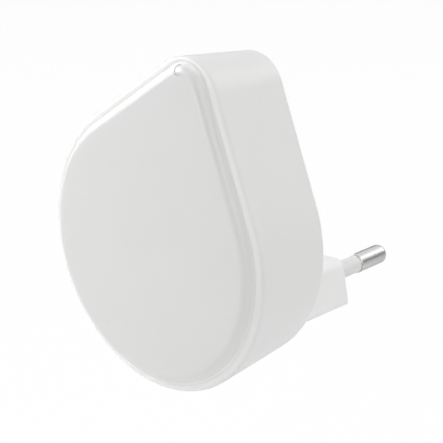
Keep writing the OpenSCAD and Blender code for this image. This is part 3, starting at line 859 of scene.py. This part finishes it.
def component(name, body, gloss, metal_where, metal=TIN, grain=0.5, cloud=0.06, paint=None):
    """A moulded body with bare metal where the mask is 1, and paint of one colour where a second mask is 1."""
    material, sheet = begin(name)
    place = here(sheet)
    where = sheet.add("ShaderNodeSeparateXYZ", sockets={"Vector": place})
    axes = {axis: Signal(sheet.tree, where.socket.node.outputs[axis]) for axis in "XYZ"}
    mask = metal_where(sheet, axes)
    cloudy = noise(sheet, place, PART_CLOUD_SCALE, 3.0)
    dark = tuple(channel * (1 - cloud) for channel in body)
    light = tuple(min(channel * (1 + cloud), 1) for channel in body)
    tint = cloudy.blend(dark, light)
    if paint:
        painted, colour = paint
        tint = painted(sheet, axes).blend(tint, colour)
    end(sheet, Base_Color=mask.blend(tint, metal), Metallic=mask,
        Roughness=mask * (METAL_GLOSS - gloss) + (cloudy * 0.1 + (gloss - 0.05)),
        Normal=relief(sheet, noise(sheet, place, FINE_GRAIN_SCALE, 3.0), grain, GRAIN_DEPTH))
    return material


print("component finish ready")

# %% Where the metal shows
board_back = level(BOARD_LEVEL)
TAIL_JOINT = -8.2 * MM  # along Y: from here the leads are stripped


def nowhere(sheet, at):
    """0 all over: the part has no bare metal."""
    return at["Y"] > 1.0


def near_board(reach):
    """A mask that is 1 up to this height over the rear face of the board."""
    return lambda sheet, at: at["Y"] < board_back + reach


def beyond_board(reach):
    """A mask that is 1 from this height over the rear face of the board."""
    return lambda sheet, at: at["Y"] > board_back + reach


def stripped_ends(sheet, at):
    """1 on both ends of a lead, where the insulation is off."""
    return sheet.math("MAXIMUM", at["Y"] < board_back + 0.3 * MM, at["Y"] > TAIL_JOINT)


print("board's rear face at y =", round(board_back, 4))

# %% Where the paint lies
LED_RING = 12.5 * MM  # radius of the ring on which the LEDs stand
LED_FACE = 1.12 * MM
LED_STEP = math.radians(60)
RESISTOR_X = -2.08 * MM
BAND_HALF = 0.3 * MM
BAND_PLACES = (-1.6 * MM, -0.6 * MM, 1.5 * MM)
TRACK_SCALE = 80.0
TRACK_WIDTH = 0.012


def lit_faces(sheet, at):
    """1 on the round faces of the LEDs, which stand in a ring: the angle is folded onto one of them."""
    across, up = at["X"], at["Z"] - DROP_LIFT
    reach = sheet.math("SQRT", across * across + up * up)
    turn = sheet.math("WRAP", sheet.math("ARCTAN2", up, across), LED_STEP, 0.0) - LED_STEP / 2
    beside, beyond = reach * sheet.math("SINE", turn), reach * sheet.math("COSINE", turn) - LED_RING
    return sheet.math("SQRT", beside * beside + beyond * beyond) < LED_FACE


def bands(sheet, at):
    """1 on the three colour rings of the resistor, which lies along X."""
    rings = [sheet.math("COMPARE", at["X"], RESISTOR_X + place, BAND_HALF) for place in BAND_PLACES]
    return rings[0] + rings[1] + rings[2]


def tracks(sheet, at):
    """1 on a net of straight copper tracks under the board's lacquer."""
    flat = sheet.add("ShaderNodeCombineXYZ", sockets={"X": at["X"], "Y": at["Z"]})
    return sheet.add("ShaderNodeTexBrick", sockets={"Vector": flat, "Scale": TRACK_SCALE,
                                                    "Mortar Size": TRACK_WIDTH}, output=1)


print("paint masks ready")

# %% Finishes of the parts on the board
finishes.update({
    "chip_plastic": component("chip_plastic", (0.03, 0.03, 0.032), 0.45, near_board(0.35 * MM)),
    "lead_brown": component("lead_brown", (0.13, 0.055, 0.03), 0.4, stripped_ends, COPPER),
    "lead_blue": component("lead_blue", (0.03, 0.09, 0.33), 0.4, stripped_ends, COPPER),
    "film_case": component("film_case", (0.42, 0.07, 0.03), 0.22, nowhere),
    "can_sleeve": component("can_sleeve", (0.012, 0.014, 0.03), 0.3, beyond_board(5.95 * MM)),
    "diode_glass": component("diode_glass", (0.5, 0.11, 0.03), 0.1, near_board(0.2 * MM)),
    "resistor_lacquer": component("resistor_lacquer", (0.15, 0.32, 0.36), 0.35, near_board(0.2 * MM),
                                  paint=(bands, (0.45, 0.12, 0.02))),
    "sensor_resin": component("sensor_resin", (0.03, 0.03, 0.035), 0.15, nowhere),
    "led_resin": component("led_resin", (0.85, 0.85, 0.83), 0.3, nowhere, paint=(lit_faces, (0.87, 0.68, 0.12))),
    "board_laminate": component("board_laminate", (0.03, 0.14, 0.06), 0.4, nowhere,
                                paint=(tracks, (0.04, 0.185, 0.075))),
})
print("finishes:", len(finishes))

# %% [markdown]
# ## Dressing the pieces
# The new pieces take the place of their CAD nodes, ride on the one body and name the material slot that they take
# their finish from. The nodes that stay keep their meshes and only get a finish.

# %% Pieces and nodes get their finishes
new_pieces = {
    "housing": (housing, "housing_plastic"), "diffuser": (panel, "panel_plastic"),
    "light_guide": (guide, "guide_plastic"), "plug_block": (plug, "plug_plastic"),
    "pin_left": (pins[-1], "pin_metal"), "pin_right": (pins[1], "pin_metal"),
    "sleeve_left": (sleeves[-1], "sleeve_plastic"), "sleeve_right": (sleeves[1], "sleeve_plastic"),
}
for node, (piece, slot_name) in new_pieces.items():
    piece.data.materials.clear()
    piece.data.materials.append(finishes[slot_name])
    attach(piece, "root")
    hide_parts(node)

node_slots = {
    "lead_left": "lead_brown", "lead_right": "lead_blue", "flange_screws": "screw_steel",
    "circuit_board": "board_laminate", "board_screws": "screw_steel", "reflector": "reflector_plastic",
    "leds": "led_resin", "light_sensor": "sensor_resin", "film_capacitor": "film_case",
    "smoothing_capacitor": "can_sleeve", "bridge_rectifier": "chip_plastic", "fusible_resistor": "resistor_lacquer",
    "chip_resistors": "chip_plastic", "zener_diode": "diode_glass", "control_transistor": "chip_plastic",
}
for node, slot_name in node_slots.items():
    for material_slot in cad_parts[node].material_slots:
        material_slot.material = finishes[slot_name]
print("dressed:", len(new_pieces), "new pieces and", len(node_slots), "nodes")

# %% [markdown]
# ## Camera
# The photograph was taken from the front right and a little above. The camera's place and its long lens were
# worked out from the outline of the drop, the seam and the pin, so that the model falls on the photograph. It was
# then swung by half a degree, so that the housing hides the second pin, as it does there.

# %% Camera
CAMERA_PLACE = (0.184463, -0.202383, 0.093988)
CAMERA_RIGHT = (0.71380871, 0.69870096, -0.04789674)
CAMERA_UP = (-0.17117427, 0.24037393, 0.95546834)
CAMERA_BACK = (0.67909977, -0.67382294, 0.29118063)

LENS_LENGTH = 113.77
SENSOR_WIDTH = 36

lens = bpy.data.cameras.new("camera")
lens.lens = LENS_LENGTH
lens.sensor_width = SENSOR_WIDTH
lens.clip_start = 0.01
camera = bpy.data.objects.new("camera", lens)
bpy.context.scene.collection.objects.link(camera)
camera.matrix_world = Matrix.Translation(CAMERA_PLACE) @ Matrix(
    (CAMERA_RIGHT, CAMERA_UP, CAMERA_BACK)).transposed().to_4x4()
bpy.context.scene.camera = camera
print("camera", round(Vector(CAMERA_PLACE).length, 3), "m from the origin")

# %% [markdown]
# ## Studio
# A pale floor some way below the object, a white surround and eight soft lamps. The camera sees floor and surround
# as plain white, as in the photograph. The floor still takes light and shadow, so the object throws a faint shadow
# on it. A metal needs something dark to mirror, or it looks like grey paint, so a low dark card stands around the
# set. Only reflections see it, and it draws the dark streaks along the pins.

# %% Floor and surround
FLOOR_LEVEL = -0.075
FLOOR_SIZE = 8
FLOOR_WHITE = 0.97  # share of plain white that the camera sees of the floor, the rest is paper with its shadow
put_down()
bpy.ops.mesh.primitive_plane_add(size=FLOOR_SIZE, location=(0, 0, FLOOR_LEVEL))
floor = bpy.context.object
floor.name = "studio_floor"


def seen(sheet, mirrored=1.0):
    """1 for rays that show the surround: from the camera, through a clear surface, or off a glossy one."""
    node = sheet.add("ShaderNodeLightPath").socket.node
    rays = [Signal(sheet.tree, node.outputs[name]) for name in ("Is Camera Ray", "Is Transmission Ray",
                                                                "Is Glossy Ray")]
    return sheet.math("MAXIMUM", sheet.math("MAXIMUM", rays[0], rays[1]), rays[2] * mirrored)


material, sheet = begin("floor_white")
paper = sheet.add("ShaderNodeBsdfDiffuse", sockets={"Color": (0.82, 0.82, 0.82, 1)})
glow = sheet.add("ShaderNodeEmission", sockets={"Color": (1, 1, 1, 1), "Strength": 1.0})
blend = sheet.add("ShaderNodeMixShader", sockets={0: seen(sheet) * FLOOR_WHITE, 1: paper, 2: glow})
sheet.add("ShaderNodeOutputMaterial", sockets={"Surface": blend})
floor.data.materials.append(material)

SURROUND = 0.06
CARD_TOP = 0.3  # upper edge of the dark card around the set, as the height of a unit direction
CARD_FADE = 0.08
world = bpy.data.worlds.new("studio")
bpy.context.scene.world = world
world.use_nodes = True
world.node_tree.nodes.clear()
sheet = Signal(world.node_tree)
soft = sheet.add("ShaderNodeBackground", sockets={"Color": (1, 1, 1, 1), "Strength": SURROUND})
white = sheet.add("ShaderNodeBackground", sockets={"Color": (1, 1, 1, 1), "Strength": 1.0})
upward = Signal(sheet.tree, sheet.add("ShaderNodeSeparateXYZ", sockets={
    "Vector": sheet.add("ShaderNodeTexCoord")}).socket.node.outputs["Z"])
above_card = sheet.add("ShaderNodeMapRange", sockets={"Value": upward, "From Min": CARD_TOP - CARD_FADE,
                                                      "From Max": CARD_TOP + CARD_FADE})
blend = sheet.add("ShaderNodeMixShader", sockets={0: seen(sheet, above_card), 1: soft, 2: white})
sheet.add("ShaderNodeOutputWorld", sockets={"Surface": blend})


# %% Lamps
AIM = (0, -0.02, 0.015)  # middle of the object


def lamp(name, place, size, watts):
    """A square soft lamp that faces the object."""
    data = bpy.data.lights.new(name, "AREA")
    data.energy = watts
    data.size = size
    piece = bpy.data.objects.new(name, data)
    bpy.context.scene.collection.objects.link(piece)
    piece.location = place
    piece.rotation_euler = (Vector(AIM) - Vector(place)).to_track_quat("-Z", "Y").to_euler()
    return piece


LAMPS = {
    "lamp_near": ((-0.18, -0.15, 0.14), 0.1, 0.23),
    "lamp_upper_left": ((-0.5, 0.3, 0.6), 0.4, 1.2),
    "lamp_left": ((-0.95, -0.1, 0.3), 0.5, 2.3),
    "lamp_right": ((0.9, 0.25, 0.35), 0.5, 3.35),
    "lamp_top": ((0.0, 0.0, 1.0), 0.5, 4.35),
    "lamp_back": ((0.2, 0.9, 0.4), 0.5, 1.5),
    "lamp_front": ((0.7, -0.7, 0.3), 0.5, 2.05),
    "lamp_low": ((-0.3, -0.9, -0.06), 0.2, 2.91),
}
for name, (place, size, watts) in LAMPS.items():
    lamp(name, place, size, watts)
bpy.context.scene.view_settings.view_transform = "Standard"
